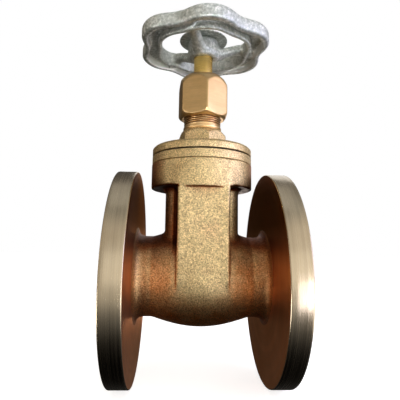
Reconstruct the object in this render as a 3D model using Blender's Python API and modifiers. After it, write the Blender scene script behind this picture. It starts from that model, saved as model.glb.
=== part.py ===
"""Flanged bronze gate valve, DN 50, non-rising stem, handwheel operated. Metres, +Z up.

The origin is where the pipe's centreline and the stem's centreline cross, in the middle of the bore.
+X runs along the pipe, +Y away from the front panel of the body, +Z up the stem to the handwheel.
"""

import math

import bmesh
import bpy
from mathutils import Matrix, Vector

MM = 0.001

# ---- driving dimensions, millimetres -------------------------------------
FLANGE_R = 82.5          # outer radius of both flanges (165 mm flange)
FLANGE_T = 15.0
FACE_TO_FACE = 131.0
BORE_R = 25.0            # nominal bore 50 mm
PIPE_R = 31.3            # outside of the short pipe necks
BELLY_R = 38.6           # outside of the chamber round the gate
BELLY_HALF = 38.0        # where the belly has run out into the pipe
ROOT_FILLET = 6.0        # pipe into flange
EDGE = 0.8               # chamfer on turned edges

PANEL_X, PANEL_Y = 19.3, 38.4      # the flat-fronted gate housing, half sizes
COLUMN_X, COLUMN_Y = 29.0, 34.0    # the oval column behind the panels, half sizes
CUP_R, CUP_BOTTOM, CUP_TOP = 41.0, 71.0, 95.6
BAND_R, BAND_BOTTOM = 40.7, 89.2   # machined band below the bonnet joint
CUP_THREAD_R = 34.3

CHAMBER_X, CHAMBER_R = 15.8, 33.5
SLOT_TOP = 78.0
POCKET_R, POCKET_X = 29.3, 22.0    # seat ring pocket
RIB_X, RIB_Y = 2.5, 30.0           # guide ribs on the chamber's front and back wall

TAPER = math.tan(math.radians(4.5))
WEDGE_HALF = 12.5                  # half thickness of the gate on the pipe's centreline
WEDGE_R = 28.0
WEDGE_BORE_R = 8.1
GAP = 0.3                          # clearance between touching pieces

STEM_R, STEM_THREAD_R, STEM_COLLAR_R = 8.0, 7.8, 11.6
STEM_FOOT, COLLAR_Z0, COLLAR_Z1 = 26.0, 112.3, 116.0
STEM_SHOULDER, SQUARE_TOP, STEM_END = 184.2, 197.2, 212.5
SQUARE = 12.0                      # across flats

NECK_R, NECK_TOP = 15.3, 148.0     # threaded neck of the bonnet
PACK_R = 12.0                      # packing chamber
HEX2_C, HEX2_ANGLE = 20.2, -16.3   # bonnet hexagon: corner radius, one corner's direction
NUT_C, NUT_ANGLE = 21.94, -22.2    # packing nut: 38 mm across flats
NUT_Z0, NUT_Z1 = 129.0, 165.6

WHEEL_Z = 195.0                    # middle of the rim
RIM_R, LOBE = 53.4, 3.9            # mean outer radius, and how far lobes and dips leave it
LOBES, LOBE_ANGLE = 6, 36.5
RIM_INNER, LOBE_IN = 36.8, 0.5     # the same inside, nearly a circle
RIM_HALF_H = 6.2
SPOKES = (9.0, 129.0, 249.0)       # each runs to a dip
HUB_FOOT, HUB_TOP = 183.6, 198.2
DISC_R = 20.4                      # blank disc under the wheel nut


# ---- scene ---------------------------------------------------------------
for old in list(bpy.data.objects):
    bpy.data.objects.remove(old, do_unlink=True)

home = bpy.data.collections.new("flanged_gate_valve")
bpy.context.scene.collection.children.link(home)


def material(name, colour, rough, metal):
    m = bpy.data.materials.new(name)
    m.use_nodes = True
    b = m.node_tree.nodes["Principled BSDF"]
    b.inputs["Base Color"].default_value = (*colour, 1)
    b.inputs["Roughness"].default_value = rough
    b.inputs["Metallic"].default_value = metal
    return m


BRONZE = material("cast_bronze", (0.55, 0.36, 0.16), 0.42, 1.0)
TURNED = material("turned_bronze", (0.66, 0.52, 0.30), 0.25, 1.0)
BRASS = material("stem_brass", (0.72, 0.48, 0.12), 0.2, 1.0)
IRON = material("wheel_zinc", (0.45, 0.48, 0.47), 0.5, 0.8)
STEEL = material("nut_steel", (0.6, 0.6, 0.58), 0.35, 1.0)
PACKING = material("graphite_packing", (0.06, 0.06, 0.06), 0.7, 0.0)
FIBRE = material("fibre_gasket", (0.10, 0.09, 0.08), 0.8, 0.0)


def keep(name, mesh, mat=None):
    obj = bpy.data.objects.new(name, mesh)
    home.objects.link(obj)
    if mat is not None:
        mesh.materials.clear()
        mesh.materials.append(mat)
    return obj


def settle(obj):
    """The object's evaluated shape as its own plain mesh, welded, faces out, at the world origin."""
    bpy.context.view_layer.update()
    graph = bpy.context.evaluated_depsgraph_get()
    mesh = bpy.data.meshes.new_from_object(obj.evaluated_get(graph), depsgraph=graph)
    mesh.transform(obj.matrix_world)
    bm = bmesh.new()
    bm.from_mesh(mesh)
    bmesh.ops.remove_doubles(bm, verts=bm.verts, dist=2e-6)
    bmesh.ops.dissolve_degenerate(bm, edges=bm.edges, dist=1e-6)
    bmesh.ops.recalc_face_normals(bm, faces=bm.faces)
    bm.to_mesh(mesh)
    bm.free()
    name = obj.name
    bpy.data.objects.remove(obj, do_unlink=True)
    return keep(name, mesh)


def lathe(name, profile, steps=48, along="Z"):
    """A closed profile of (radius, height) in mm, turned about Z, or about X with height read as x."""
    mesh = bpy.data.meshes.new(name)
    bm = bmesh.new()
    points = [bm.verts.new((r * MM, 0, h * MM)) for r, h in profile]
    n = len(points)
    on_axis = [abs(r) < 1e-9 for r, _ in profile]
    for i in range(n):
        j = (i + 1) % n
        if not (on_axis[i] and on_axis[j]):
            bm.edges.new((points[i], points[j]))
    bm.to_mesh(mesh)
    bm.free()
    obj = keep(name, mesh)
    screw = obj.modifiers.new("turn", "SCREW")
    screw.axis = "Z"
    screw.angle = 2 * math.pi
    screw.steps = screw.render_steps = steps
    screw.use_merge_vertices = True
    screw.merge_threshold = 1e-5
    screw.use_smooth_shade = True
    obj = settle(obj)
    if along == "X":
        obj.data.transform(Matrix.Rotation(math.radians(90), 4, "Y"))
    return obj


def block(name, x0, x1, y0, y1, z0, z1, round_z=0.0, segments=3):
    """A box between two corners in mm, its upright edges rounded."""
    bpy.ops.mesh.primitive_cube_add(size=1)
    obj = bpy.context.object
    obj.name = name
    obj.data.transform(Matrix.Diagonal(((x1 - x0) * MM, (y1 - y0) * MM, (z1 - z0) * MM, 1)))
    obj.data.transform(Matrix.Translation(((x0 + x1) / 2 * MM, (y0 + y1) / 2 * MM, (z0 + z1) / 2 * MM)))
    if round_z > 0:
        bm = bmesh.new()
        bm.from_mesh(obj.data)
        up = [e for e in bm.edges if abs((e.verts[0].co - e.verts[1].co).normalized().z) > 0.99]
        bmesh.ops.bevel(bm, geom=up, offset=round_z * MM, segments=segments, affect="EDGES", profile=0.5)
        bm.to_mesh(obj.data)
        bm.free()
    return settle(obj)


def oval(name, rx, ry, z0, z1, steps=40):
    bpy.ops.mesh.primitive_cylinder_add(vertices=steps, radius=1, depth=1, end_fill_type="NGON")
    obj = bpy.context.object
    obj.name = name
    obj.data.transform(Matrix.Diagonal((rx * MM, ry * MM, (z1 - z0) * MM, 1)))
    obj.data.transform(Matrix.Translation((0, 0, (z0 + z1) / 2 * MM)))
    return settle(obj)


def hexagon(name, corner, angle, z0, z1):
    bpy.ops.mesh.primitive_cylinder_add(vertices=6, radius=corner * MM, depth=(z1 - z0) * MM, end_fill_type="NGON")
    obj = bpy.context.object
    obj.name = name
    # The first corner starts out on +Y, so angle is turned back by 90 degrees.
    obj.data.transform(Matrix.Rotation(math.radians(angle - 90), 4, "Z"))
    obj.data.transform(Matrix.Translation((0, 0, (z0 + z1) / 2 * MM)))
    return settle(obj)


def combine(target, tool, how):
    """Joins, cuts or intersects with the other shape, which is used up."""
    mod = target.modifiers.new(how, "BOOLEAN")
    mod.operation = how
    mod.solver = "EXACT"
    mod.object = tool
    result = settle(target)
    bpy.data.objects.remove(tool, do_unlink=True)
    return result


def finish(obj, name, mat, sharp=35):
    obj.name = name
    obj.data.name = name
    obj.data.materials.clear()
    obj.data.materials.append(mat)
    for p in obj.data.polygons:
        p.material_index = 0
    obj.data.shade_smooth()
    obj.data.set_sharp_from_angle(angle=math.radians(sharp))
    return obj


# ---- body casting ----------------------------------------------------------
HALF = FACE_TO_FACE / 2
BACK = HALF - FLANGE_T


def belly(x):
    return PIPE_R + (BELLY_R - PIPE_R) * max(0.0, 1 - (x / BELLY_HALF) ** 2) ** 1.15


right = [(belly(x), x) for x in (0, 8, 16, 24, 31, 38)]
for k in range(4):
    t = math.radians(90 * k / 3)
    right.append((PIPE_R + ROOT_FILLET * (1 - math.cos(t)), BACK - ROOT_FILLET + ROOT_FILLET * math.sin(t)))
right += [(FLANGE_R - EDGE, BACK), (FLANGE_R, BACK + EDGE), (FLANGE_R, HALF - EDGE), (FLANGE_R - EDGE, HALF)]
outline = right + [(0, HALF), (0, -HALF)] + [(r, -x) for r, x in reversed(right[1:])]
body = lathe("valve_body", outline, 48, "X")
panel = block("panel", -PANEL_X, PANEL_X, -PANEL_Y, PANEL_Y, -2, CUP_BOTTOM + 4, 2.5)
body = combine(body, panel, "UNION")
column = oval("column", COLUMN_X, COLUMN_Y, 4, CUP_BOTTOM + 3)
body = combine(body, column, "UNION")
cup = lathe("cup", [(0, CUP_BOTTOM), (CUP_R - 3, CUP_BOTTOM), (CUP_R - 0.9, CUP_BOTTOM + 0.9), (CUP_R, CUP_BOTTOM + 3),
                    (CUP_R, BAND_BOTTOM), (BAND_R, BAND_BOTTOM + 0.3), (BAND_R, CUP_TOP - 0.5), (BAND_R - 0.5, CUP_TOP), (0, CUP_TOP)], 44)
body = combine(body, cup, "UNION")

# The hollow is cut in one go: the gate's chamber with two guide ribs left standing in it, the seat pockets,
# the bore from flange to flange, and the threaded mouth for the bonnet.
hollow = lathe("hollow", [(0, -CHAMBER_X), (CHAMBER_R, -CHAMBER_X), (CHAMBER_R, CHAMBER_X), (0, CHAMBER_X)], 36, "X")
slot = block("slot", -CHAMBER_X, CHAMBER_X, -CHAMBER_R, CHAMBER_R, 0, SLOT_TOP, 4)
hollow = combine(hollow, slot, "UNION")
inner = oval("inner", COLUMN_X - 5, COLUMN_Y - 5.5, 37, SLOT_TOP - 0.5)
hollow = combine(hollow, inner, "UNION")
for side in (-1, 1):
    y0, y1 = sorted((side * RIB_Y, side * (CHAMBER_R + 6)))
    hollow = combine(hollow, block("rib", -RIB_X, RIB_X, y0, y1, -16, 74), "DIFFERENCE")
for side in (-1, 1):
    x0, x1 = sorted((side * (CHAMBER_X - 3), side * POCKET_X))
    hollow = combine(hollow, lathe("pocket", [(0, x0), (POCKET_R, x0), (POCKET_R, x1), (0, x1)], 32, "X"), "UNION")
bore = lathe("bore", [(0, -HALF - 5), (BORE_R, -HALF - 5), (BORE_R, HALF + 5), (0, HALF + 5)], 40, "X")
hollow = combine(hollow, bore, "UNION")
mouth = lathe("mouth", [(0, SLOT_TOP - 1.2), (CUP_THREAD_R, SLOT_TOP - 1.2), (CUP_THREAD_R, CUP_TOP - 1), (CUP_THREAD_R + 1, CUP_TOP + 0.2), (CUP_THREAD_R + 1, CUP_TOP + 4), (0, CUP_TOP + 4)], 40)
hollow = combine(hollow, mouth, "UNION")
body = combine(body, hollow, "DIFFERENCE")
finish(body, "valve_body", BRONZE)


# ---- seat rings and gate ----------------------------------------------------
def wedge_planes(name, half, reach=60.0):
    """The space between the two tapered faces of the gate, as one closed solid."""
    outline = [(-(half - reach * TAPER), -reach), (half - reach * TAPER, -reach), (half + reach * TAPER, reach), (-(half + reach * TAPER), reach)]
    curve = bpy.data.curves.new(name, "CURVE")
    curve.dimensions = "2D"
    curve.fill_mode = "BOTH"
    curve.extrude = 0.06
    spline = curve.splines.new("POLY")
    spline.points.add(len(outline) - 1)
    for p, (x, z) in zip(spline.points, outline):
        p.co = (x * MM, z * MM, 0, 1)
    spline.use_cyclic_u = True
    obj = bpy.data.objects.new(name, curve)
    home.objects.link(obj)
    obj.matrix_world = Matrix.Rotation(math.radians(90), 4, "X")
    return settle(obj)


for side, name in ((-1, "seat_ring_left"), (1, "seat_ring_right")):
    x0, x1 = sorted((side * 8.0, side * (POCKET_X - GAP)))
    tip = [(BORE_R, x0), (POCKET_R - GAP, x0), (POCKET_R - GAP, x1), (BORE_R, x1)]
    ring = lathe(name, tip, 32, "X")
    ring = combine(ring, wedge_planes("planes", WEDGE_HALF + GAP), "DIFFERENCE")
    finish(ring, name, TURNED)

gate = lathe("wedge_gate", [(0, -18), (WEDGE_R, -18), (WEDGE_R, 18), (0, 18)], 36, "X")
for side in (-1, 1):
    y0, y1 = sorted((side * 20.0, side * (CHAMBER_R - 1.0)))
    gate = combine(gate, block("ear", -8, 8, y0, y1, -4, 21, 1.0, 1), "UNION")
gate = combine(gate, wedge_planes("planes", WEDGE_HALF), "INTERSECT")
gate = combine(gate, lathe("boss", [(0, 10), (12.4, 10), (12.4, 35), (11.4, 36), (0, 36)], 24), "UNION")
for side in (-1, 1):
    y0, y1 = sorted((side * (RIB_Y - 0.7), side * (CHAMBER_R + 3)))
    gate = combine(gate, block("slot", -RIB_X - 0.6, RIB_X + 0.6, y0, y1, -20, 28), "DIFFERENCE")
gate = combine(gate, lathe("nut_bore", [(0, -40), (WEDGE_BORE_R, -40), (WEDGE_BORE_R, 35), (WEDGE_BORE_R + 1, 36.2), (WEDGE_BORE_R + 1, 40), (0, 40)], 24), "DIFFERENCE")
finish(gate, "wedge_gate", BRONZE)


# ---- stem --------------------------------------------------------------------
stem = lathe("stem", [(0, STEM_FOOT), (STEM_THREAD_R - 1.2, STEM_FOOT), (STEM_THREAD_R, STEM_FOOT + 1.2), (STEM_THREAD_R, COLLAR_Z0),
                      (STEM_COLLAR_R, COLLAR_Z0), (STEM_COLLAR_R, COLLAR_Z1), (STEM_R, COLLAR_Z1), (STEM_R, STEM_SHOULDER),
                      (5.0, STEM_SHOULDER), (5.0, STEM_END - 0.8), (4.2, STEM_END), (0, STEM_END)], 32)
square = block("square", -SQUARE / 2, SQUARE / 2, -SQUARE / 2, SQUARE / 2, STEM_SHOULDER - 1, SQUARE_TOP, 0.6, 1)
stem = combine(stem, square, "UNION")
finish(stem, "stem", BRASS)


# ---- bonnet --------------------------------------------------------------------
FLANGE_UNDER = 96.8
bonnet = lathe("bonnet", [
    (27.0, 79.0), (33.0, 79.0), (CUP_THREAD_R - GAP, 80.0), (CUP_THREAD_R - GAP, FLANGE_UNDER), (BAND_R, FLANGE_UNDER), (BAND_R, 101.2),
    (39.4, 102.8), (36.8, 103.9), (17.0, 105.6), (15.0, 105.6), (15.0, 118.6), (15.9, 119.0), (15.9, 120.6), (NECK_R, 121.4), (NECK_R, NECK_TOP - 0.8), (NECK_R - 0.8, NECK_TOP), (PACK_R, NECK_TOP), (PACK_R, COLLAR_Z0 - GAP),
    (8.15, COLLAR_Z0 - GAP), (8.15, 95.0), (14.0, 92.0), (24.0, 89.0), (27.0, 86.0)], 40)
hexa = hexagon("bonnet_hex", HEX2_C, HEX2_ANGLE, 103.0, 118.4)
hexa = combine(hexa, lathe("hex_cone", [(0, 100), (30, 100), (HEX2_C + 0.1, 110.6), (15.6, 118.4), (15.2, 119), (0, 119)], 32), "INTERSECT")
hexa = combine(hexa, lathe("hex_hole", [(0, 100), (13.5, 100), (13.5, 122), (0, 122)], 24), "DIFFERENCE")
bonnet = combine(bonnet, hexa, "UNION")
finish(bonnet, "bonnet", BRONZE)

gasket = lathe("bonnet_gasket", [(35.6, CUP_TOP + GAP), (39.4, CUP_TOP + GAP), (39.4, FLANGE_UNDER - GAP), (35.6, FLANGE_UNDER - GAP)], 40)
finish(gasket, "bonnet_gasket", FIBRE)


# ---- stem packing --------------------------------------------------------------
def ring_of(name, height, mat, foot, steps=28):
    """A ring round the stem in the packing chamber; returns where the next one starts."""
    outline = [(STEM_R + GAP, foot), (PACK_R - GAP, foot), (PACK_R - GAP, foot + height), (STEM_R + GAP, foot + height)]
    finish(lathe(name, outline, steps), name, mat)
    return foot + height + GAP


z = ring_of("thrust_washer", 1.2, TURNED, COLLAR_Z1 + GAP)
z = ring_of("stem_retainer", 5.0, BRASS, z)
z = ring_of("packing_washer", 1.5, TURNED, z)
for k in (1, 2, 3, 4):
    z = ring_of(f"packing_ring_{k}", 4.6, PACKING, z)
gland = lathe("gland_follower", [(STEM_R + GAP, z), (PACK_R - GAP, z), (PACK_R - GAP, 156.5), (14.4, 156.5), (14.4, 160.0), (13.9, 160.5), (STEM_R + GAP, 160.5)], 28)
finish(gland, "gland_follower", TURNED)

nut = hexagon("packing_nut", NUT_C, NUT_ANGLE, NUT_Z0, NUT_Z1)
nut = combine(nut, lathe("nut_turned", [(0, NUT_Z0), (17.2, NUT_Z0), (19.2, 130.6), (NUT_C + 0.1, 134.6), (NUT_C + 0.1, 154.5), (20.7, 158.6), (19.0, 162.0),
                                        (16.8, 164.8), (15.0, NUT_Z1), (0, NUT_Z1)], 36), "INTERSECT")
nut = combine(nut, lathe("nut_hole", [(0, NUT_Z0 - 2), (17.0, NUT_Z0 - 2), (15.65, 130.4), (15.65, 160.9), (8.4, 160.9), (8.4, NUT_Z1 + 2), (0, NUT_Z1 + 2)], 32), "DIFFERENCE")
finish(nut, "packing_nut", BRONZE)


# ---- handwheel -------------------------------------------------------------------
def flat_ring(name, outer, inner, z_mid, half, edge):
    """A flat piece between two outlines, its edges rounded, from a filled 2D curve."""
    curve = bpy.data.curves.new(name, "CURVE")
    curve.dimensions = "2D"
    curve.fill_mode = "BOTH"
    curve.extrude = (half - edge) * MM
    curve.bevel_depth = edge * MM
    curve.bevel_resolution = 1 if edge > 1 else 0
    curve.offset = -edge * MM
    for ring in (outer, inner):
        spline = curve.splines.new("POLY")
        spline.points.add(len(ring) - 1)
        for p, (x, y) in zip(spline.points, ring):
            p.co = (x * MM, y * MM, 0, 1)
        spline.use_cyclic_u = True
    obj = bpy.data.objects.new(name, curve)
    home.objects.link(obj)
    obj.location = (0, 0, z_mid * MM)
    return settle(obj)


def lobed(radius, depth, count):
    ring = []
    for i in range(count):
        a = 2 * math.pi * i / count
        wave = math.cos(LOBES * (a - math.radians(LOBE_ANGLE)))
        r = radius + depth * (wave + 0.12 * (1 - math.cos(2 * LOBES * (a - math.radians(LOBE_ANGLE)))))
        ring.append((r * math.cos(a), r * math.sin(a)))
    return ring


wheel = flat_ring("handwheel", lobed(RIM_R, LOBE, 60), lobed(RIM_INNER, LOBE_IN, 48), WHEEL_Z, RIM_HALF_H, 4.0)
hub = lathe("hub", [(0, HUB_FOOT), (10.2, HUB_FOOT), (12.8, HUB_FOOT + 3.4), (12.8, HUB_TOP), (0, HUB_TOP)], 32)
wheel = combine(wheel, hub, "UNION")
for angle in SPOKES:
    curve = bpy.data.curves.new("spoke", "CURVE")
    curve.dimensions = "3D"
    curve.bevel_depth = 5.0 * MM
    curve.bevel_resolution = 2
    curve.use_fill_caps = True
    spline = curve.splines.new("POLY")
    route = ((4.0, 189.6, 1.2), (11.0, 189.7, 1.15), (18.0, 191.2, 1.0), (25.0, 194.1, 0.92), (31.0, 195.9, 0.94), (39.0, 196.2, 0.98))
    spline.points.add(len(route) - 1)
    a = math.radians(angle)
    for p, (r, zz, w) in zip(spline.points, route):
        p.co = (r * math.cos(a) * MM, r * math.sin(a) * MM, zz * MM, 1)
        p.radius = w
    obj = bpy.data.objects.new("spoke", curve)
    home.objects.link(obj)
    wheel = combine(wheel, settle(obj), "UNION")
channel = flat_ring("channel", lobed(RIM_R - 6.2, LOBE * 0.72, 60), lobed(RIM_INNER + 3.9, LOBE_IN, 48), WHEEL_Z - RIM_HALF_H, 6.2, 0.6)
wheel = combine(wheel, channel, "DIFFERENCE")
wheel = combine(wheel, block("square_hole", -SQUARE / 2 - GAP, SQUARE / 2 + GAP, -SQUARE / 2 - GAP, SQUARE / 2 + GAP, 184.2 + GAP, 210), "DIFFERENCE")
wheel = combine(wheel, lathe("stem_hole", [(0, 180), (STEM_R + GAP, 180), (STEM_R + GAP, STEM_SHOULDER + GAP + 0.05), (0, STEM_SHOULDER + GAP + 0.05)], 32), "DIFFERENCE")
finish(wheel, "handwheel", IRON)

disc = lathe("name_disc", [(5.6, HUB_TOP + GAP), (DISC_R - 0.5, HUB_TOP + GAP), (DISC_R, HUB_TOP + 0.8), (DISC_R, HUB_TOP + 1.6), (DISC_R - 0.5, HUB_TOP + 2.0), (5.6, HUB_TOP + 2.0)], 36)
finish(disc, "name_disc", IRON)
washer = lathe("wheel_washer", [(5.5, 200.5), (10.5, 200.5), (10.5, 202.0), (5.5, 202.0)], 28)
finish(washer, "wheel_washer", STEEL)
top = hexagon("handwheel_nut", 9.8, 10.0, 202.3, 210.3)
top = combine(top, lathe("nut_cone", [(0, 202.3), (9.0, 202.3), (9.9, 202.9), (9.9, 209.1), (8.6, 210.3), (0, 210.3)], 24), "INTERSECT")
top = combine(top, lathe("nut_bore_top", [(0, 200), (5.35, 200), (5.35, 214), (0, 214)], 28), "DIFFERENCE")
finish(top, "handwheel_nut", STEEL)
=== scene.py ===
"""Looks of the flanged bronze gate valve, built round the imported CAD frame. Metres, +Z up the stem, +X along the pipe."""

import math

import bmesh
import bpy
import numpy as np
from mathutils import Matrix, Vector


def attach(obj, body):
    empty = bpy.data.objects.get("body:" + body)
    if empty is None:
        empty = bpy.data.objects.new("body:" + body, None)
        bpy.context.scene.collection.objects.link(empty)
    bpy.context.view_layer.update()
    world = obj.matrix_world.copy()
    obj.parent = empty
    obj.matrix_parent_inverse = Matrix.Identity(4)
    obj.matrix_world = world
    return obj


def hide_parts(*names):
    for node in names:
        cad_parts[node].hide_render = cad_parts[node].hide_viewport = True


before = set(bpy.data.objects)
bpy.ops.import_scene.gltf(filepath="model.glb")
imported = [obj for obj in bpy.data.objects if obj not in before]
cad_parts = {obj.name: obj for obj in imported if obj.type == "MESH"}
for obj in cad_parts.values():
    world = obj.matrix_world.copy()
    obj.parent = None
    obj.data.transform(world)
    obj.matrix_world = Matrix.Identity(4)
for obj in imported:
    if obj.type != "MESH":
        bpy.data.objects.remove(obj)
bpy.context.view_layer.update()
MM = 0.001
home = bpy.data.collections.new("looks")
bpy.context.scene.collection.children.link(home)


# ---------------------------------------------------------------- mesh tools
def mesh_object(name, verts_mm, faces, mats, sharp=None, smooth=True, index=None):
    me = bpy.data.meshes.new(name)
    v = np.asarray(verts_mm, float) * MM
    me.from_pydata(v.tolist(), [], faces if isinstance(faces, list) else faces.tolist())
    me.validate()
    for m in mats:
        me.materials.append(m)
    if index is not None:
        me.polygons.foreach_set("material_index", np.asarray(index, np.int32))
    if smooth:
        me.shade_smooth()
        if sharp:
            me.set_sharp_from_angle(angle=math.radians(sharp))
    me.update()
    ob = bpy.data.objects.new(name, me)
    home.objects.link(ob)
    return ob


def smin(a, b, k):
    h = np.clip(0.5 + 0.5 * (b - a) / k, 0.0, 1.0)
    return b * (1 - h) + a * h - k * h * (1 - h)


def smax(a, b, k):
    return -smin(-a, -b, k)


def surface_nets(field, lo, hi, step):
    """Quads on the zero level of field(x, y, z), which is negative inside, with the vertices pulled onto the level."""
    n = [int(math.ceil((hi[i] - lo[i]) / step)) + 1 for i in range(3)]
    ax = [lo[i] + step * np.arange(n[i]) for i in range(3)]
    F = np.empty(n, np.float32)
    Y, Z = np.meshgrid(ax[1], ax[2], indexing="ij")
    for i, x in enumerate(ax[0]):
        F[i] = field(np.full_like(Y, x), Y, Z)
    inside = F < 0
    c = [slice(0, -1), slice(1, None)]
    count = np.zeros([m - 1 for m in n], np.int8)
    for a in (0, 1):
        for b in (0, 1):
            for d in (0, 1):
                count += inside[c[a], c[b], c[d]]
    mixed = (count > 0) & (count < 8)
    idx = np.full(mixed.shape, -1, np.int64)
    cells = np.argwhere(mixed)
    idx[mixed] = np.arange(len(cells))
    pos = np.zeros((len(cells), 3))
    hits = np.zeros(len(cells))
    corners = [(a, b, d) for a in (0, 1) for b in (0, 1) for d in (0, 1)]
    ci, cj, ck = cells.T
    val = {k: F[ci + k[0], cj + k[1], ck + k[2]].astype(float) for k in corners}
    for k in corners:
        for axis in range(3):
            if k[axis] == 0:
                m = tuple(1 if i == axis else k[i] for i in range(3))
                f0, f1 = val[k], val[m]
                cross = (f0 < 0) != (f1 < 0)
                t = np.where(cross, f0 / np.where(cross, f0 - f1, 1.0), 0.0)
                p = np.tile(np.array(k, float), (len(cells), 1))
                p[:, axis] += t
                pos += p * cross[:, None]
                hits += cross
    pos = (cells + pos / hits[:, None]) * step + np.array(lo)
    quads = []
    for axis in range(3):
        u, v = (axis + 1) % 3, (axis + 2) % 3
        s0 = [slice(None)] * 3
        s1 = [slice(None)] * 3
        s0[axis], s1[axis] = slice(0, -1), slice(1, None)
        change = inside[tuple(s0)] != inside[tuple(s1)]
        e = np.argwhere(change)
        e = e[(e[:, u] > 0) & (e[:, v] > 0) & (e[:, u] < n[u] - 1) & (e[:, v] < n[v] - 1)]
        starts = inside[tuple(e.T)]
        q = []
        for du, dv in ((-1, -1), (0, -1), (0, 0), (-1, 0)):
            w = e.copy()
            w[:, u] += du
            w[:, v] += dv
            q.append(idx[tuple(w.T)])
        q = np.stack(q, 1)
        q[~starts] = q[~starts][:, ::-1]
        quads.append(q)
    quads = np.concatenate(quads)
    h = 0.02
    for _ in range(3):
        f, g = gradient(field, pos, h)
        move = -f[:, None] * g / np.maximum((g * g).sum(1), 0.05)[:, None]
        far = np.linalg.norm(move, axis=1)
        move *= np.minimum(1.0, 0.5 * step / np.maximum(far, 1e-9))[:, None]
        pos += move
    return pos, quads


def gradient(field, p, h=0.02):
    x, y, z = p.T
    f = field(x, y, z)
    g = np.stack([(field(x + h, y, z) - field(x - h, y, z)), (field(x, y + h, z) - field(x, y - h, z)), (field(x, y, z + h) - field(x, y, z - h))], 1) / (2 * h)
    return f, g


def openness(field, p, reach):
    """How open the space above each point is, 0 in a tight recess to 1 on an exposed surface."""
    _, g = gradient(field, p)
    nrm = g / np.maximum(np.linalg.norm(g, axis=1), 1e-6)[:, None]
    total = np.zeros(len(p))
    for r in reach:
        q = p + nrm * r
        total += np.clip(field(*q.T) / r, 0, 1)
    return total / len(reach), nrm


def point_values(ob, name, values):
    a = ob.data.attributes.new(name, "FLOAT", "POINT")
    a.data.foreach_set("value", np.asarray(values, np.float32))


def rounded(points, steps=4):
    """A closed or open outline of (r, z, radius): each corner becomes an arc of that radius."""
    out = []
    n = len(points)
    for i, (r, z, rad) in enumerate(points):
        p = np.array([r, z])
        if rad <= 0:
            out.append((r, z))
            continue
        a = np.array(points[(i - 1) % n][:2]) - p
        b = np.array(points[(i + 1) % n][:2]) - p
        la, lb = np.linalg.norm(a), np.linalg.norm(b)
        a, b = a / la, b / lb
        half = math.acos(max(-1, min(1, float(a @ b)))) / 2
        if half < 1e-3 or abs(half - math.pi / 2) < 1e-3:
            out.append((r, z))
            continue
        reach = min(rad / math.tan(half), 0.48 * la, 0.48 * lb)
        rad = reach * math.tan(half)
        c = p + (a + b) / np.linalg.norm(a + b) * (rad / math.sin(half))
        p0, p1 = p + a * reach - c, p + b * reach - c
        a0 = math.atan2(p0[1], p0[0])
        turn = (math.atan2(p1[1], p1[0]) - a0 + math.pi) % (2 * math.pi) - math.pi
        for k in range(steps + 1):
            t = a0 + turn * k / steps
            out.append((c[0] + rad * math.cos(t), c[1] + rad * math.sin(t)))
    return out


def densify(profile, step, zones=None):
    """Extra points along the closed profile, no further apart than step (or zones' own step between two heights)."""
    out = []
    n = len(profile)
    for i in range(n):
        a, b = np.array(profile[i]), np.array(profile[(i + 1) % n])
        s = step
        for z0, z1, fine in zones or ():
            if min(a[1], b[1]) < z1 and max(a[1], b[1]) > z0:
                s = fine
        m = max(1, int(math.ceil(np.linalg.norm(b - a) / s)))
        out += [tuple(a + (b - a) * k / m) for k in range(m)]
    return out


def turned(name, profile, seg, mats, shape=None, along="Z", sharp=40, index=None, start=0.0):
    """A closed outline of (radius, height) in mm turned about the axis; shape(r, z, angle) may bend it to (r, z)."""
    pr = np.array(profile)
    # counter-clockwise in the (r, z) plane, so that faces look outwards
    area = 0.5 * np.sum(pr[:, 0] * np.roll(pr[:, 1], -1) - np.roll(pr[:, 0], -1) * pr[:, 1])
    if area < 0:
        pr = pr[::-1]
    n = len(pr)
    th = start + 2 * math.pi * np.arange(seg) / seg
    R, T = np.meshgrid(pr[:, 0], th)
    Z, _ = np.meshgrid(pr[:, 1], th)
    if shape is not None:
        R, Z = shape(R, Z, T)
    P = np.stack([R * np.cos(T), R * np.sin(T), Z], -1).reshape(-1, 3)
    if along == "X":
        P = P[:, [2, 0, 1]]
    faces = []
    idx = []
    for s in range(seg):
        t = (s + 1) % seg
        for i in range(n):
            j = (i + 1) % n
            if pr[i, 0] < 1e-6 and pr[j, 0] < 1e-6:
                continue
            faces.append((s * n + i, t * n + i, t * n + j, s * n + j))
            idx.append(0 if index is None else index(0.5 * (pr[i] + pr[j])))
    faces = np.array(faces)[:, ::-1]
    ob = mesh_object(name, P, faces, mats, None, True, idx)
    bm = bmesh.new()
    bm.from_mesh(ob.data)
    bmesh.ops.remove_doubles(bm, verts=bm.verts, dist=1e-7)
    bmesh.ops.dissolve_degenerate(bm, edges=bm.edges, dist=1e-8)
    bmesh.ops.recalc_face_normals(bm, faces=bm.faces)
    bm.to_mesh(ob.data)
    bm.free()
    ob.data.shade_smooth()
    if sharp:
        ob.data.set_sharp_from_angle(angle=math.radians(sharp))
    return ob


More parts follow.
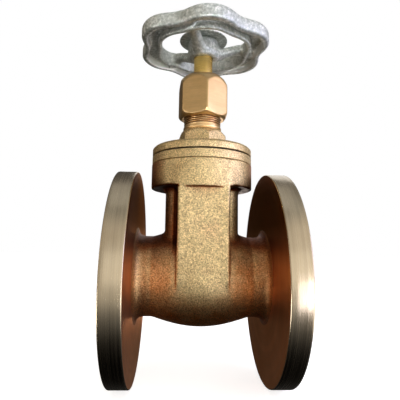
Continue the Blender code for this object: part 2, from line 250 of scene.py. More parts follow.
# ---------------------------------------------------------------- materials
class Nodes:
    def __init__(self, name):
        self.m = bpy.data.materials.new(name)
        self.m.use_nodes = True
        self.t = self.m.node_tree
        self.b = self.t.nodes["Principled BSDF"]

    def add(self, kind, **kw):
        n = self.t.nodes.new("ShaderNode" + kind)
        for k, v in kw.items():
            setattr(n, k, v)
        return n

    def link(self, a, b):
        self.t.links.new(a, b)

    def position(self):
        return self.add("TexCoord").outputs["Object"]

    def math(self, op, a, b=None, clamp=False):
        n = self.add("Math", operation=op, use_clamp=clamp)
        for i, v in enumerate((a, b)):
            if v is None:
                continue
            if isinstance(v, (int, float)):
                n.inputs[i].default_value = v
            else:
                self.link(v, n.inputs[i])
        return n.outputs[0]

    def noise(self, vec, scale, detail=3.0, rough=0.5, distortion=0.0):
        n = self.add("TexNoise")
        self.link(vec, n.inputs["Vector"])
        n.inputs["Scale"].default_value = scale
        n.inputs["Detail"].default_value = detail
        n.inputs["Roughness"].default_value = rough
        n.inputs["Distortion"].default_value = distortion
        return n.outputs["Fac"]

    def cells(self, vec, scale):
        n = self.add("TexVoronoi")
        self.link(vec, n.inputs["Vector"])
        n.inputs["Scale"].default_value = scale
        return n.outputs["Distance"], n.outputs["Color"]

    def ramp(self, fac, stops):
        n = self.add("ValToRGB")
        self.link(fac, n.inputs[0])
        e = n.color_ramp.elements
        while len(e) < len(stops):
            e.new(0.5)
        for i, (p, c) in enumerate(stops):
            e[i].position = p
            e[i].color = (*c, 1) if len(c) == 3 else c
        return n.outputs["Color"]

    def spread(self, v, a, b, c, d):
        n = self.add("MapRange", clamp=True)
        self.link(v, n.inputs[0])
        for i, x in enumerate((a, b, c, d)):
            n.inputs[i + 1].default_value = x
        return n.outputs[0]

    def mix(self, fac, a, b, kind="MIX"):
        n = self.add("Mix", data_type="RGBA", blend_type=kind)
        for sock, v in ((n.inputs[0], fac), (n.inputs[6], a), (n.inputs[7], b)):
            if isinstance(v, (int, float)):
                sock.default_value = v
            elif isinstance(v, tuple):
                sock.default_value = (*v, 1)
            else:
                self.link(v, sock)
        return n.outputs[2]

    def attribute(self, name):
        return self.add("Attribute", attribute_name=name).outputs["Fac"]

    def bump(self, height, strength, distance, before=None):
        n = self.add("Bump")
        n.inputs["Strength"].default_value = strength
        n.inputs["Distance"].default_value = distance
        self.link(height, n.inputs["Height"])
        if before is not None:
            self.link(before, n.inputs["Normal"])
        return n.outputs["Normal"]

    def done(self, colour, rough, metal=1.0, normal=None):
        b = self.b
        if isinstance(colour, tuple):
            b.inputs["Base Color"].default_value = (*colour, 1)
        else:
            self.link(colour, b.inputs["Base Color"])
        if isinstance(rough, float):
            b.inputs["Roughness"].default_value = rough
        else:
            self.link(rough, b.inputs["Roughness"])
        b.inputs["Metallic"].default_value = metal
        if normal is not None:
            self.link(normal, b.inputs["Normal"])
        return self.m


def lin(r, g, b):
    return tuple((c / 255 / 12.92) if c / 255 <= 0.04045 else ((c / 255 + 0.055) / 1.055) ** 2.4 for c in (r, g, b))


def cast_bronze(name, recess=True):
    n = Nodes(name)
    p = n.position()
    grain = n.noise(p, 1080, 2.0, 0.62)
    fine = n.noise(p, 2300, 2.0, 0.5)
    broad = n.noise(p, 42, 3.0, 0.55)
    _, flake = n.cells(p, 1150)
    sep = n.add("SeparateColor")
    n.link(flake, sep.inputs[0])
    colour = n.ramp(broad, [(0.3, lin(218, 192, 142)), (0.52, lin(232, 208, 156)), (0.75, lin(224, 192, 146))])
    speck = n.spread(grain, 0.30, 0.70, 0.42, 1.26)
    glint = n.spread(sep.outputs[0], 0.0, 1.0, 0.80, 1.16)
    colour = n.mix(1.0, colour, n.math("MULTIPLY", speck, glint), "MULTIPLY")
    # painted shade: a low 'open' value darkens the bronze toward orange-brown and then dark brown in recesses, creases
    # and under things
    if recess:
        painted_light_fac = n.attribute("open")
        # painted reflection and painted shade: this attribute tints the bronze orange-brown and darker, broken up by
        # noise
        painted_warm_tint = n.attribute("painted_warm_tint")
        warm_breakup = n.noise(p, 95, 3.0, 0.6)
        painted_warm_tint = n.math("MULTIPLY", painted_warm_tint, n.spread(warm_breakup, 0.3, 0.7, 0.65, 1.15))
        colour = n.mix(n.spread(painted_warm_tint, 0, 1, 0, 0.9), colour, n.mix(1.0, colour, lin(212, 140, 74), "MULTIPLY"))
        colour = n.mix(n.spread(painted_light_fac, 0.45, 0.92, 0.85, 0.0), colour, n.mix(1.0, colour, lin(176, 104, 66), "MULTIPLY"))
        colour = n.mix(n.spread(painted_light_fac, 0.05, 0.38, 0.95, 0.0), colour, n.mix(1.0, colour, lin(92, 50, 34), "MULTIPLY"))
    rough = n.spread(fine, 0.3, 0.7, 0.42, 0.58)
    h = n.math("ADD", n.math("MULTIPLY", grain, 0.75), n.math("MULTIPLY", fine, 0.25))
    nb = n.bump(h, 0.7, 0.00045, n.bump(n.noise(p, 190, 2.0, 0.5), 0.25, 0.0008))
    return n.done(colour, rough, 1.0, nb)


def lines(n, p, along, pitch, twist=6.0):
    """Turning marks round X or Z: noise stretched along the cut, so it only changes with radius and height."""
    s = n.add("SeparateXYZ")
    n.link(p, s.inputs[0])
    x, y, z = s.outputs
    a, b, h = (y, z, x) if along == "X" else (x, y, z)
    r = n.math("SQRT", n.math("ADD", n.math("MULTIPLY", a, a), n.math("MULTIPLY", b, b)))
    c = n.add("CombineXYZ")
    n.link(n.math("MULTIPLY", h, 1.0 / pitch), c.inputs[0])
    n.link(n.math("MULTIPLY", r, 1.0 / pitch), c.inputs[1])
    t = n.math("ARCTAN2", a, b)
    n.link(n.math("MULTIPLY", n.math("SINE", t), twist * 0.1), c.inputs[2])
    return c.outputs[0]


def turned_metal(name, colours, along="X", rough=(0.2, 0.34), pitch=0.0006, aniso=0.5, strength=0.22, metallic=1.0, painted_top_shade=None, painted_root_shade=False):
    n = Nodes(name)
    p = n.position()
    v = lines(n, p, along, pitch)
    cut = n.noise(v, 1.0, 3.0, 0.6)
    wide = n.noise(v, 0.17, 2.0, 0.5)
    cloud = n.noise(p, 38, 3.0, 0.55)
    colour = n.ramp(cloud, [(0.3, colours[0]), (0.7, colours[1])])
    colour = n.mix(1.0, colour, n.spread(n.math("ADD", cut, wide), 0.6, 1.4, 0.80, 1.10), "MULTIPLY")
    r = n.spread(cut, 0.3, 0.7, rough[0], rough[1])
    nb = n.bump(n.math("ADD", cut, n.math("MULTIPLY", wide, 0.6)), strength, 0.00012)
    # painted shade: a low 'open' value darkens the thread roots toward dark brown
    if painted_root_shade:
        colour = n.mix(n.spread(n.attribute("open"), 0.05, 0.8, 0.92, 0.0), colour, lin(98, 52, 30))
    # painted shade: the colour darkens toward dark red-brown with height between the given z values
    if painted_top_shade:
        parts = n.add("SeparateXYZ")
        n.link(p, parts.inputs[0])
        up = parts.outputs[2]
        colour = n.mix(n.spread(up, painted_top_shade[0], painted_top_shade[1], 0.0, painted_top_shade[2]), colour, lin(46, 18, 8))
    m = n.done(colour, r, metallic, nb)
    n.b.inputs["Anisotropic"].default_value = aniso
    tan = n.add("Tangent", direction_type="RADIAL", axis=along)
    n.link(tan.outputs[0], n.b.inputs["Tangent"])
    return m


def zinc(name):
    n = Nodes(name)
    p = n.position()
    mott = n.noise(p, 420, 4.0, 0.62, 0.3)
    grain = n.noise(p, 1500, 2.0, 0.6)
    broad = n.noise(p, 55, 3.0, 0.5)
    colour = n.ramp(mott, [(0.30, lin(140, 148, 143)), (0.50, lin(196, 203, 199)), (0.70, lin(254, 255, 253))])
    colour = n.mix(n.spread(broad, 0.35, 0.7, 0.0, 0.5), colour, lin(176, 185, 180))
    painted_light_fac = n.attribute("open")
    # painted shade where the 'open' value is low; painted highlight, lightened toward white, where it is above 1.05
    colour = n.mix(n.spread(painted_light_fac, 0.05, 0.5, 0.60, 0.0), colour, lin(112, 116, 114))
    colour = n.mix(n.spread(painted_light_fac, 1.05, 1.6, 0.0, 0.85), colour, lin(254, 255, 252))
    rough = n.spread(mott, 0.3, 0.75, 0.34, 0.55)
    h = n.math("ADD", n.math("MULTIPLY", mott, 0.75), n.math("MULTIPLY", grain, 0.25))
    return n.done(colour, rough, 0.4, n.bump(h, 0.6, 0.0009))


def speckled(name, base, dark, scale, rough, metal, strength=0.4, distance=0.0002):
    n = Nodes(name)
    p = n.position()
    a = n.noise(p, scale, 3.0, 0.6)
    colour = n.ramp(a, [(0.3, dark), (0.7, base)])
    return n.done(colour, n.spread(a, 0.3, 0.7, rough * 0.85, rough * 1.15), metal, n.bump(a, strength, distance))


CAST = cast_bronze("cast_bronze")
CAST_PLAIN = cast_bronze("cast_bronze_bonnet", False)
RIM = turned_metal("turned_rim", (lin(180, 164, 138), lin(192, 177, 152)), "X", (0.18, 0.30), 0.0004, 0.4, 0.14)
# the flange faces carry painted shade, darker from 12 mm to 40 mm up
FACE = turned_metal("flange_face", (lin(206, 156, 122), lin(220, 172, 140)), "X", (0.34, 0.44), 0.0008, 0.2, 0.05, painted_top_shade=(0.012, 0.040, 0.85))
NUT = turned_metal("milled_nut", (lin(202, 168, 116), lin(214, 182, 132)), "Z", (0.32, 0.44), 0.0009, 0.0, 0.10)
NECK = turned_metal("threaded_neck", (lin(222, 186, 136), lin(236, 204, 154)), "Z", (0.26, 0.38), 0.00015, 0.0, 0.02, painted_root_shade=True)
BRASS = turned_metal("stem_brass", (lin(244, 206, 112), lin(254, 222, 138)), "Z", (0.20, 0.28), 0.0002, 0.3, 0.02, metallic=0.7)
FACE.node_tree.nodes["Principled BSDF"].inputs["Specular Tint"].default_value = (0.72, 0.44, 0.30, 1)
ZINC = zinc("galvanised_iron")
PLATED = turned_metal("plated_steel", (lin(170, 172, 170), lin(196, 198, 196)), "Z", (0.24, 0.36), 0.0007, 0.0, 0.12)
DARK = speckled("gasket_fibre", lin(46, 34, 26), lin(20, 14, 10), 900, 0.8, 0.0)
GRAPHITE = speckled("graphite_packing", lin(60, 60, 62), lin(22, 22, 24), 700, 0.6, 0.0)
SEAT = turned_metal("seat_metal", (lin(206, 170, 118), lin(222, 188, 136)), "X", (0.2, 0.32), 0.0006, 0.2, 0.12)


# ---------------------------------------------------------------- the casting
PIPE_R, BELLY_R, BELLY_HALF = 31.3, 38.6, 38.0
BACK = 50.5


def belly_radius(x):
    t = np.clip(1 - (x / BELLY_HALF) ** 2, 0, 1)
    return PIPE_R + (BELLY_R - PIPE_R) * t ** 1.15


def box2(u, v, hu, hv, rad):
    a, b = np.abs(u) - (hu - rad), np.abs(v) - (hv - rad)
    return np.sqrt(np.maximum(a, 0) ** 2 + np.maximum(b, 0) ** 2) + np.minimum(np.maximum(a, b), 0) - rad


def outside(x, y, z):
    ax = np.abs(x)
    r = np.sqrt(y * y + z * z)
    h = 0.3
    slope = (belly_radius(ax + h) - belly_radius(np.maximum(ax - h, 0))) / (2 * h)
    pipe = (r - belly_radius(ax)) / np.sqrt(1 + slope * slope)
    column = box2(x, y, 28.7, 21.0, 9.0)
    column = smax(column, -z + 2.0, 2.0)
    column = smax(column, z - 78.0, 1.0)
    rc = np.sqrt(x * x + y * y)
    # below the belly's middle the flat panel leans back along the belly's own roundness
    round_off = np.where(z < 6.0, np.sqrt(y * y + (z - 6.0) ** 2) - 38.45, -9.0)
    panel = smax(smax(box2(x, y, 19.4, 38.4, 1.5), z - 72.0, 0.8), round_off, 1.0)
    panel = smax(panel, rc - 41.2 - 0.5 * np.maximum(0, 70.0 - z), 0.6)
    core = smax(smax(box2(x, y, 19.2, 35.0, 2.0), z - 78.0, 1.0), 4.0 - z, 2.0)
    lip = 69.3 - 1.8 * np.clip((20.0 - ax) / 5.0, 0, 1) * (np.abs(y) > 25.0)
    cup = smax(smax(rc - 41.0, lip - z, 1.3), z - 89.0, 0.4)
    d = smin(pipe, column, 3.4)
    d = smin(d, core, 1.2)
    d = smin(d, cup, 6.0)
    d = smin(np.minimum(d, cup), panel, 0.35)
    # the fillet runs out along the flange's back face
    d = smin(d, (BACK + 0.06) - ax, 8.0)
    return d


def hollow(x, y, z):
    ax = np.abs(x)
    r = np.sqrt(y * y + z * z)
    rc = np.sqrt(x * x + y * y)
    bore = r - 25.0
    pocket = smax(r - 29.3, ax - 22.0, 0.3)
    chamber = smax(r - 33.4, ax - 15.7, 2.0)
    slot = smax(smax(box2(x, y, 15.7, 33.4, 4.0), -z, 0.5), z - 80.0, 0.5)
    inner = smax(smax((np.sqrt((x / 24.0) ** 2 + (y / 28.4) ** 2) - 1) * 25.0, 37.5 - z, 1.5), z - 80.0, 0.5)
    mouth = smax(rc - 34.4, 77.0 - z, 0.5)
    d = smin(chamber, slot, 1.0)
    d = smin(d, inner, 1.5)
    rib = smax(smax(ax - 2.4, 30.1 - np.abs(y), 0.4), z - 74.0, 0.4)
    d = smax(d, -rib, 0.5)
    d = smin(d, pocket, 0.3)
    d = smin(d, bore, 0.5)
    return smin(d, mouth, 0.5)


def casting(x, y, z):
    d = smax(outside(x, y, z), -hollow(x, y, z), 0.6)
    ax = np.abs(x)
    d = np.maximum(d, ax - 51.4)
    # past the neck's foot only the flange disc itself carries on, so the fillet ends inside it
    return np.where(ax > 46.0, np.maximum(d, np.sqrt(y * y + z * z) - 47.0), d)


def build_casting():
    step = 1.1
    pos, quads = surface_nets(casting, (-53.13, -45.17, -46.21), (53.4, 45.6, 90.9), step)
    ob = mesh_object("body_casting", pos, quads, [CAST], 50)
    free, nrm = openness(lambda x, y, z: np.minimum(np.minimum(outside(x, y, z), BACK - np.abs(x)), 1e3), pos, (2.0, 5.0, 9.0, 15.0))
    x, y, z = pos.T
    ax = np.abs(x)
    # painted shade: downward faces under the cup and the upward pocket on the pipes beside the tower get a lower light
    # level, more so on the left
    down = np.clip(-nrm[:, 2] * 1.4 - 0.25, 0, 1) * (z > 62)
    pocket = np.clip((z - 17) / 9, 0, 1) * np.clip((66 - z) / 10, 0, 1) * np.clip((ax - 20) / 4, 0, 1) * np.clip(nrm[:, 2] * 1.6 - 0.2, 0, 1)
    free = free * (1 - 0.9 * down) * (1 - np.where(x < 0, 0.75, 0.55) * pocket)
    # painted light: the right-hand side of the neck is painted brighter than the left, as the light falls on it
    front = np.clip((np.abs(nrm[:, 1]) - 0.25) / 0.2, 0, 1) * np.clip((0.75 - np.abs(nrm[:, 2])) / 0.3, 0, 1)
    side = np.clip((x - 19.7) / 0.8, 0, 1) * (x < 34) * np.clip((z - 27) / 7, 0, 1) * np.clip((69 - z) / 3, 0, 1) * front
    free = np.maximum(free, 0.95 * side)
    # painted shade: the column's right flank is painted dark
    flank = (x > 26.0) & (x < 34.0) & (z > 24.0) & (z < 68.0) & (np.abs(nrm[:, 0]) > 0.85)
    free = np.where(flank, 0.2, free)
    # painted shade: the groove at the panel's left edge is painted nearly black and the column's left side darker,
    # fading out lower down
    left = (x < -18.6) & (x > -34.0) & (z < 69.0)
    fade = np.clip((z - 16) / 10, 0, 1)
    free = np.where(left, free + (np.minimum(free, 0.66 - 0.62 * np.clip((23.2 + x) / 1.2, 0, 1)) - free) * fade, free)
    # painted shade: a thin dark crease where the panel meets the cup
    crease = (np.abs(x) < 14.0) & (np.abs(y) > 36.5) & (z > 66.6) & (z < 68.0)
    free = np.where(crease, 0.45, free)
    point_values(ob, "open", free)
    # painted reflection: a warm orange-brown tint on the pipes beside the panel and on the cup's left, less on the
    # brighter right strip and near the left flange
    painted_warm_tint = np.clip((ax - 17) / 7, 0, 1) * np.clip((60 - z) / 22, 0, 1) * np.where(x < 0, 0.55, 0.70)
    painted_warm_tint = painted_warm_tint * (1 - 0.75 * np.clip((ax - 42) / 5, 0, 1) * (x < 0)) * (1 - 0.95 * side)
    painted_warm_tint = np.maximum(painted_warm_tint, 0.5 * np.clip((-x - 28) / 8, 0, 1) * np.clip((z - 62) / 4, 0, 1))
    # painted shade: the belly's underside gets the same darker tint, stronger further down
    under = np.clip((-z - 8) / 20, 0, 1)
    point_values(ob, "painted_warm_tint", np.clip(np.maximum(painted_warm_tint, under), 0, 1))
    return ob


casting_ob = build_casting()
pieces = [(casting_ob, "body", ["valve_body"], "cast_bronze")]

# Flange discs: turned rim and faces, the bore, and a fine turned step round the casting's fillet.
for side, name in ((-1, "flange_disc_left"), (1, "flange_disc_right")):
    prof = rounded([(24.95, 65.5, 0.5), (82.5, 65.5, 0.7), (82.5, 50.5, 0.9), (32.0, 50.5, 0.0), (30.0, 52.0, 0.0), (24.95, 52.0, 0.0)], 4)
    prof = [(r, h * side) for r, h in prof]
    ob = turned(name, densify(prof, 6.0), 256, [FACE, RIM], along="X", index=lambda c: 1 if c[0] > 82.0 or abs(c[1]) > 65.2 else 0)
    pieces.append((ob, "body", ["valve_body"], "cast_bronze"))

band = turned("cup_band", rounded([(34.4, 89.35, 0.0), (40.75, 89.35, 0.35), (40.75, 95.7, 0.35), (35.3, 95.7, 0.3), (34.4, 94.8, 0.2)], 3), 160, [CAST_PLAIN])
pieces.append((band, "body", ["valve_body"], "cast_bronze"))

# ---------------------------------------------------------------- bonnet
HEX2_C, HEX2_A = 20.2, math.radians(-16.3)
NUT_C, NUT_A = 21.94, math.radians(-22.2)


def hexagon(theta, corner, angle, p=70.0):
    """Radius of a six-sided prism with slightly rounded corners."""
    flat = corner * math.cos(math.pi / 6)
    s = np.zeros_like(theta)
    for k in range(6):
        s += np.maximum(np.cos(theta - (angle + math.pi / 6 + k * math.pi / 3)), 0.0) ** p
    return flat * s ** (-1.0 / p)


THREAD_Z0, THREAD_Z1, PITCH = 122.5, 147.6, 1.65


def bonnet_shape(R, Z, T):
    hexr = hexagon(T, HEX2_C, HEX2_A)
    inside_hex = (Z > 103.2) & (Z < 119.0) & (R > 15.2)
    blend = np.clip((Z - 103.6) / 0.8, 0, 1)
    cut = smin(R, hexr, 0.5)
    out = np.where(inside_hex & (R > 14), cut * blend + np.minimum(R, 60) * (1 - blend), R)
    thread = (Z > THREAD_Z0) & (Z < THREAD_Z1) & (R > 12.2)
    ramp = np.clip((Z - THREAD_Z0) / 0.8, 0, 1) * np.clip((THREAD_Z1 - Z) / 0.8, 0, 1)
    phase = (Z / PITCH - T / (2 * math.pi)) % 1.0
    tooth = np.clip(1.6 * np.abs(2 * phase - 1) - 0.3, 0, 1)
    out = np.where(thread, R - 0.85 * (1 - tooth) * ramp, out)
    return out, Z


bonnet_outline = rounded([
    (27.0, 79.3, 0.5), (33.0, 79.3, 0.5), (34.0, 80.3, 0.5), (34.0, 96.85, 0.2), (40.7, 96.85, 0.35), (40.7, 101.6, 1.2), (39.0, 103.4, 1.6), (22.5, 104.6, 1.5),
    (21.6, 105.4, 0.6), (21.6, 112.6, 0.8), (15.7, 119.2, 0.5), (15.4, 119.6, 0.2), (15.9, 120.0, 0.3), (15.9, 121.2, 0.3), (15.35, 121.8, 0.2), (15.35, 147.3, 0.4), (14.6, 148.0, 0.3),
    (12.05, 148.0, 0.2), (12.05, 112.0, 0.2), (8.2, 112.0, 0.2), (8.2, 95.0, 0.3), (14.0, 92.0, 1.0), (24.0, 89.0, 1.0), (27.0, 86.0, 1.0)], 4)
bonnet_ob = turned("bonnet_turned", densify(bonnet_outline, 1.6, [(121.7, 147.7, 0.17)]), 144, [CAST_PLAIN, NECK], bonnet_shape,
                   index=lambda c: 1 if c[1] > 118.9 else 0, start=HEX2_A, sharp=38)
# painted shade: the thread roots get a low 'open' value, which the neck's material paints darker
spots = np.array([tuple(v.co) for v in bonnet_ob.data.vertices]) * 1000.0
radius = np.hypot(spots[:, 0], spots[:, 1])
threaded = (spots[:, 2] > 121.7) & (spots[:, 2] < THREAD_Z1) & (radius > 12.5)
point_values(bonnet_ob, "open", np.where(threaded, np.clip((radius - 14.5) / 0.8, 0, 1), 1.0))
pieces.append((bonnet_ob, "body", ["bonnet"], "cast_bronze"))

gasket = turned("gasket_ring", rounded([(35.6, 95.95, 0.0), (39.6, 95.95, 0.2), (39.6, 96.6, 0.2), (35.6, 96.6, 0.0)], 3), 128, [DARK])
pieces.append((gasket, "body", ["bonnet_gasket"], "fibre_gasket"))


# ---------------------------------------------------------------- packing nut
def nut_shape(R, Z, T):
    hexr = hexagon(T, NUT_C, NUT_A)
    outer = R > 15.9
    return np.where(outer, smin(R, hexr, 0.7), R), Z


nut_outline = rounded([
    (15.66, 129.2, 0.0), (17.6, 129.2, 0.5), (19.8, 130.6, 1.0), (22.6, 134.4, 1.0), (22.6, 154.0, 2.0), (21.2, 158.2, 4.0), (18.9, 162.4, 3.0), (15.6, 165.6, 0.8),
    (8.5, 165.6, 0.5), (8.5, 161.0, 0.2), (15.66, 161.0, 0.2)], 5)
nut_ob = turned("packing_nut_milled", densify(nut_outline, 1.2), 192, [NUT], nut_shape, start=NUT_A, sharp=60)
pieces.append((nut_ob, "body", ["packing_nut"], "machined_bronze"))

# ---------------------------------------------------------------- stem
SQ = 6.0


def stem_shape(R, Z, T):
    half = SQ / np.maximum(np.maximum(np.abs(np.cos(T)), np.abs(np.sin(T))), 0.7)
    square = (Z > 184.5) & (Z < 197.3) & (R > 5.2)
    out = np.where(square, smin(R, half, 0.3), R)
    thread = (Z > 27.0) & (Z < 108.0) & (R > 6.0)
    phase = (Z / 5.0 + T / (2 * math.pi)) % 1.0
    tooth = np.clip(3.2 * np.abs(2 * phase - 1) - 1.1, 0, 1)
    ramp = np.clip((Z - 27.0) / 2.5, 0, 1) * np.clip((108.0 - Z) / 2.5, 0, 1)
    out = np.where(thread, R - 1.9 * (1 - tooth) * ramp, out)
    top = (Z > 198.2) & (Z < 211.5) & (R > 4.0)
    phase = (Z / 1.25 - T / (2 * math.pi)) % 1.0
    out = np.where(top, R - 0.5 * (1 - np.abs(2 * phase - 1)) * np.clip((Z - 198.2) / 1, 0, 1) * np.clip((211.5 - Z) / 0.8, 0, 1), out)
    return out, Z


stem_outline = rounded([
    (0.0, 26.0, 0.0), (6.4, 26.0, 0.4), (7.75, 27.4, 0.3), (7.75, 112.3, 0.2), (11.55, 112.3, 0.3), (11.55, 116.0, 0.3), (7.98, 116.0, 0.2), (7.98, 184.2, 0.2),
    (7.6, 184.5, 0.0), (7.6, 197.2, 0.2), (5.0, 197.2, 0.2), (5.0, 211.8, 0.3), (4.2, 212.45, 0.2), (0.0, 212.45, 0.0)], 3)
stem_ob = turned("stem_turned", densify(stem_outline, 3.0, [(26.5, 108.5, 0.55), (198.0, 211.6, 0.2), (184.3, 197.4, 1.5)]), 96, [BRASS], stem_shape, start=math.pi / 4, sharp=40)
pieces.append((stem_ob, "spindle", ["stem"], "stem_brass"))

# ---------------------------------------------------------------- handwheel
WHEEL_Z, HALF_H = 195.0, 6.2
LOBE_A = math.radians(34.0)
ARMS = (250.0, 10.0, 130.0)


def wave(t):
    c = np.cos(6 * (t - LOBE_A))
    return c + 0.12 * (1 - np.cos(12 * (t - LOBE_A)))


def arm(x, y, z, angle):
    c, s = math.cos(angle), math.sin(angle)
    u, v = x * c + y * s, -x * s + y * c
    mid = np.interp(u, (4, 12, 16, 20, 24, 28, 32, 37, 46), (188.8, 189.2, 190.2, 191.8, 193.5, 195.0, 195.9, 196.2, 196.2))
    wide = np.interp(u, (4, 12, 18, 26, 33, 38, 44), (7.0, 6.3, 5.3, 4.8, 5.1, 5.8, 6.6))
    tall = np.interp(u, (4, 12, 18, 26, 33, 38, 44), (5.6, 5.1, 4.5, 4.2, 4.4, 4.7, 4.7))
    q = (np.sqrt((v / wide) ** 2 + ((z - mid) / tall) ** 2) - 1) * np.minimum(wide, tall) * 0.92
    return np.maximum(q, np.maximum(3.0 - u, u - 45.0))


def corner(a, h, rad):
    """Two half spaces meeting in a rounded edge."""
    p, q = a + rad, h + rad
    return np.sqrt(np.maximum(p, 0) ** 2 + np.maximum(q, 0) ** 2) + np.minimum(np.maximum(p, q), 0) - rad


def wheel(x, y, z):
    r = np.sqrt(x * x + y * y)
    t = np.arctan2(y, x)
    w = wave(t)
    dw = (wave(t + 0.01) - wave(t - 0.01)) / 0.02 / np.maximum(r, 20.0)
    tilt = np.sqrt(1 + (3.4 * dw) ** 2)
    out = (r - (53.3 + 3.4 * w)) / tilt
    inn = (36.7 + 1.3 * w) - r
    h = np.abs(z - WHEEL_Z) - HALF_H
    # the rim is well rounded on top and crisper at its lower edge
    rim = np.maximum(np.where(z > WHEEL_Z, corner(out, h, 4.9), corner(out, h, 2.6)), corner(inn, h, 1.5))
    wall = (r - (48.6 + 3.0 * w)) / np.sqrt(1 + (3.0 * dw) ** 2)
    trough = corner(np.maximum(wall, (40.2 + 1.3 * w) - r), z - (WHEEL_Z - HALF_H + 6.6), 1.8)
    rim = smax(rim, -trough, 1.1)
    hub = smax(smax(r - 12.9 + np.clip(187.2 - z, 0, 4) * 0.55, 183.9 - z, 1.3), z - 198.1, 0.7)
    d = hub
    arms = None
    for a in ARMS:
        q = arm(x, y, z, math.radians(a))
        arms = q if arms is None else np.minimum(arms, q)
    d = smin(d, arms, 4.5)
    d = smin(d, rim, 3.4)
    square = smax(box2(x, y, 6.3, 6.3, 0.5), 184.6 - z, 0.2)
    bore = smax(r - 8.3, z - 184.7, 0.2)
    return smax(smax(d, -square, 0.4), -bore, 0.4)


def build_wheel():
    step = 0.85
    pos, quads = surface_nets(wheel, (-60.2, -60.3, 181.3), (60.4, 60.2, 203.4), step)
    ob = mesh_object("handwheel_casting", pos, quads, [ZINC], 60)
    free, nrm = openness(wheel, pos, (1.5, 3.5, 7.0))
    x, y, z = pos.T
    rr = np.sqrt(x * x + y * y)
    out = (nrm[:, 0] * x + nrm[:, 1] * y) / np.maximum(rr, 1.0)
    # painted highlight: inside the rim the outer wall's inner face is painted bright; painted shade: the deep end of
    # the channel is painted darker
    wall = (out < -0.4) & (rr > 43.5) & (z < 195.5)
    free = np.where(wall, 1.6, free)
    lower = (rr > 36.0) & (rr < 43.5) & (out > 0.3) & (z < 195.0)
    free = np.where(lower, np.clip((194.6 - z) / 3.5, 0.0, 0.9), free)
    # painted shade: the inner ring's inner face is painted dark
    inner = (rr < 39.5) & (rr > 35.0) & (out < -0.5)
    free = np.where(inner, 0.30, free)
    point_values(ob, "open", free)
    return ob


pieces.append((build_wheel(), "spindle", ["handwheel"], "galvanised_iron"))

disc_ob = turned("name_disc_blank", densify(rounded([(5.6, 198.5, 0.0), (19.6, 198.5, 0.5), (20.4, 199.0, 0.4), (20.4, 199.8, 0.4), (19.2, 200.2, 0.4), (5.6, 200.2, 0.0)], 4), 3.0), 128, [ZINC])
point_values(disc_ob, "open", np.ones(len(disc_ob.data.vertices)))
pieces.append((disc_ob, "spindle", ["name_disc"], "galvanised_iron"))
washer_ob = turned("wheel_washer_turned", rounded([(5.5, 200.5, 0.2), (10.5, 200.5, 0.3), (10.5, 202.0, 0.4), (5.5, 202.0, 0.2)], 3), 96, [PLATED])
pieces.append((washer_ob, "spindle", ["wheel_washer"], "zinc_steel"))


def top_nut_shape(R, Z, T):
    hexr = hexagon(T, 9.75, math.radians(10.0), 90.0)
    return np.where(R > 6.5, smin(R, hexr, 0.25), R), Z


top_ob = turned("handwheel_nut_milled", densify(rounded([(5.4, 202.6, 0.3), (6.0, 202.3, 0.0), (8.8, 202.3, 0.3), (9.9, 203.0, 0.3), (9.9, 209.2, 0.3), (8.3, 210.3, 0.3), (6.0, 210.3, 0.0), (5.4, 209.9, 0.2)], 3), 0.7), 144, [PLATED], top_nut_shape, start=math.radians(10.0), sharp=50)
pieces.append((top_ob, "spindle", ["handwheel_nut"], "zinc_steel"))

for ob, body, nodes, slot in pieces:
    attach(ob, body)
    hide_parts(*nodes)

kept = {"wedge_gate": SEAT, "seat_ring_left": SEAT, "seat_ring_right": SEAT, "thrust_washer": NUT, "packing_washer": NUT, "gland_follower": NUT, "stem_retainer": BRASS,
        "packing_ring_1": GRAPHITE, "packing_ring_2": GRAPHITE, "packing_ring_3": GRAPHITE, "packing_ring_4": GRAPHITE}
for name, mat in kept.items():
    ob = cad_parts[name]
    ob.data.materials.clear()
    ob.data.materials.append(mat)

# ---------------------------------------------------------------- camera
scene = bpy.context.scene
cam_data = bpy.data.cameras.new("camera")
cam = bpy.data.objects.new("camera", cam_data)
scene.collection.objects.link(cam)
yaw, pitch, roll = 0.048, 0.121, 0.016
f = Vector((math.sin(yaw) * math.cos(pitch), math.cos(yaw) * math.cos(pitch), math.sin(pitch)))
r = Vector((math.cos(yaw), -math.sin(yaw), 0))
u = r.cross(f)
r2 = math.cos(roll) * r + math.sin(roll) * u
u2 = -math.sin(roll) * r + math.cos(roll) * u
m = Matrix.Identity(4)
for i in range(3):
    m[i][0], m[i][1], m[i][2] = r2[i], u2[i], -f[i]
m.translation = Vector((-0.214, -3.879, 0.324)) * 0.0825
cam.matrix_world = m
cam_data.sensor_width = 36.0
cam_data.lens = 35.18
cam_data.shift_x = 0.0039
cam_data.shift_y = -0.0126
cam_data.clip_start = 0.005
scene.camera = cam

# ---------------------------------------------------------------- floor and light
bpy.ops.mesh.primitive_plane_add(size=6.0, location=(0, 0, -0.0829))
floor = bpy.context.object
floor.name = "floor"
fm = bpy.data.materials.new("floor")
fm.use_nodes = True
fb = fm.node_tree.nodes["Principled BSDF"]
fb.inputs["Base Color"].default_value = (0.9, 0.9, 0.9, 1)
fb.inputs["Roughness"].default_value = 0.9
fb.inputs["Emission Color"].default_value = (1, 1, 1, 1)
fb.inputs["Emission Strength"].default_value = 0.75
floor.data.materials.append(fm)
floor.visible_glossy = False
floor.visible_diffuse = False

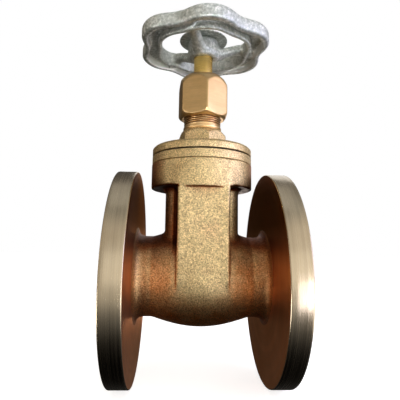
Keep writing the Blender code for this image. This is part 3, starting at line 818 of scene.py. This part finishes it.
world = bpy.data.worlds.new("studio")
scene.world = world
world.use_nodes = True
wt = world.node_tree
wt.nodes.clear()
out = wt.nodes.new("ShaderNodeOutputWorld")
mixw = wt.nodes.new("ShaderNodeMixShader")
lp = wt.nodes.new("ShaderNodeLightPath")
white = wt.nodes.new("ShaderNodeBackground")
white.inputs[0].default_value = (1, 1, 1, 1)
white.inputs[1].default_value = 1.0
soft = wt.nodes.new("ShaderNodeBackground")
tc = wt.nodes.new("ShaderNodeTexCoord")
sep = wt.nodes.new("ShaderNodeSeparateXYZ")
wt.links.new(tc.outputs["Generated"], sep.inputs[0])


def sky_ramp(socket, stops):
    mr = wt.nodes.new("ShaderNodeMapRange")
    mr.inputs[1].default_value, mr.inputs[2].default_value = -1, 1
    ramp = wt.nodes.new("ShaderNodeValToRGB")
    el = ramp.color_ramp.elements
    while len(el) < len(stops):
        el.new(0.5)
    for e, (at, level) in zip(el, stops):
        e.position = 0.5 + 0.5 * at
        e.color = (*level, 1) if isinstance(level, tuple) else (level, level, level, 1)
    wt.links.new(socket, mr.inputs[0])
    wt.links.new(mr.outputs[0], ramp.inputs[0])
    return ramp.outputs[0]


height = sky_ramp(sep.outputs[2], [(-1.0, 0.0), (-0.93, 0.006), (-0.85, 0.02), (-0.7, 0.11), (-0.5, 0.30), (-0.3, (0.90, 0.87, 0.81)), (0.0, (0.92, 0.88, 0.80)),
                                   (0.35, (0.80, 0.77, 0.71)), (0.6, (0.92, 0.87, 0.79)), (0.8, (0.88, 0.83, 0.76)), (0.92, (0.50, 0.51, 0.50)), (1.0, (0.34, 0.36, 0.36))])
depth = sky_ramp(sep.outputs[1], [(-1.0, 1.0), (-0.3, 1.0), (0.1, 0.7), (0.4, 0.3), (0.75, 0.13), (1.0, 0.10)])
times = wt.nodes.new("ShaderNodeMix")
times.data_type = "RGBA"
times.blend_type = "MULTIPLY"
times.inputs[0].default_value = 1.0
wt.links.new(height, times.inputs[6])
wt.links.new(depth, times.inputs[7])
across = sky_ramp(sep.outputs[0], [(-1.0, (0.34, 0.28, 0.23)), (-0.6, (0.62, 0.56, 0.48)), (-0.22, 0.88), (0.1, 1.0), (0.36, 1.2), (0.5, 1.1), (1.0, 1.5)])
again = wt.nodes.new("ShaderNodeMix")
again.data_type = "RGBA"
again.blend_type = "MULTIPLY"
again.inputs[0].default_value = 1.0
wt.links.new(times.outputs[2], again.inputs[6])
wt.links.new(across, again.inputs[7])
wt.links.new(again.outputs[2], soft.inputs[0])
soft.inputs[1].default_value = 1.0
wt.links.new(lp.outputs["Is Camera Ray"], mixw.inputs[0])
wt.links.new(soft.outputs[0], mixw.inputs[1])
wt.links.new(white.outputs[0], mixw.inputs[2])
wt.links.new(mixw.outputs[0], out.inputs[0])


def area(name, at, aim, size, power, colour=(1, 1, 1), size_y=None, spread=None):
    d = bpy.data.lights.new(name, "AREA")
    d.energy = power
    d.color = colour
    d.shape = "RECTANGLE"
    d.size = size
    d.size_y = size_y or size
    if spread:
        d.spread = math.radians(spread)
    o = bpy.data.objects.new(name, d)
    o.location = at
    o.rotation_euler = (Vector(aim) - Vector(at)).to_track_quat("-Z", "Y").to_euler()
    scene.collection.objects.link(o)
    o.visible_camera = False
    return o


area("key_right", (0.77, -0.36, 0.24), (0, 0, 0.08), 0.55, 2.35, (0.88, 0.83, 1.45), 0.5)
area("low_right", (0.42, -0.79, -0.18), (0, 0, 0.0), 0.25, 1.7, (0.98, 0.96, 1.15), 0.36)
area("front", (0.12, -0.85, 0.18), (0, 0, 0.10), 0.9, 0.75, (1.0, 0.98, 0.93), 0.5)
area("wheel_fill", (0.0, -0.78, -0.24), (0, 0, 0.212), 0.12, 0.045, (1.0, 1.0, 1.0), 0.12, 16)
area("top", (0.0, 0.05, 0.85), (0, 0, 0.1), 0.6, 0.45, (1, 1, 1))
area("left", (-0.8, -0.30, 0.22), (0, 0, 0.05), 0.35, 0.65, (1.0, 0.93, 0.86))
area("back", (0.2, 0.8, 0.5), (0, 0, 0.05), 0.6, 1.3, (1, 1, 1))
area("back_right", (0.16, 0.84, -0.08), (0, 0, -0.02), 0.28, 0.75, (1.0, 0.88, 0.78), 0.18)
area("right_back", (0.58, 0.72, 0.12), (0, 0, 0.08), 0.25, 0.35, (1.0, 0.85, 0.90))
area("under_right", (0.60, -0.42, -0.30), (0, 0, 0.19), 0.35, 1.4, (1, 1, 1))
area("under_left", (-0.60, -0.42, -0.30), (0, 0, 0.19), 0.35, 3.0, (1, 1, 1))

scene.view_settings.view_transform = "Standard"
scene.view_settings.look = "None"

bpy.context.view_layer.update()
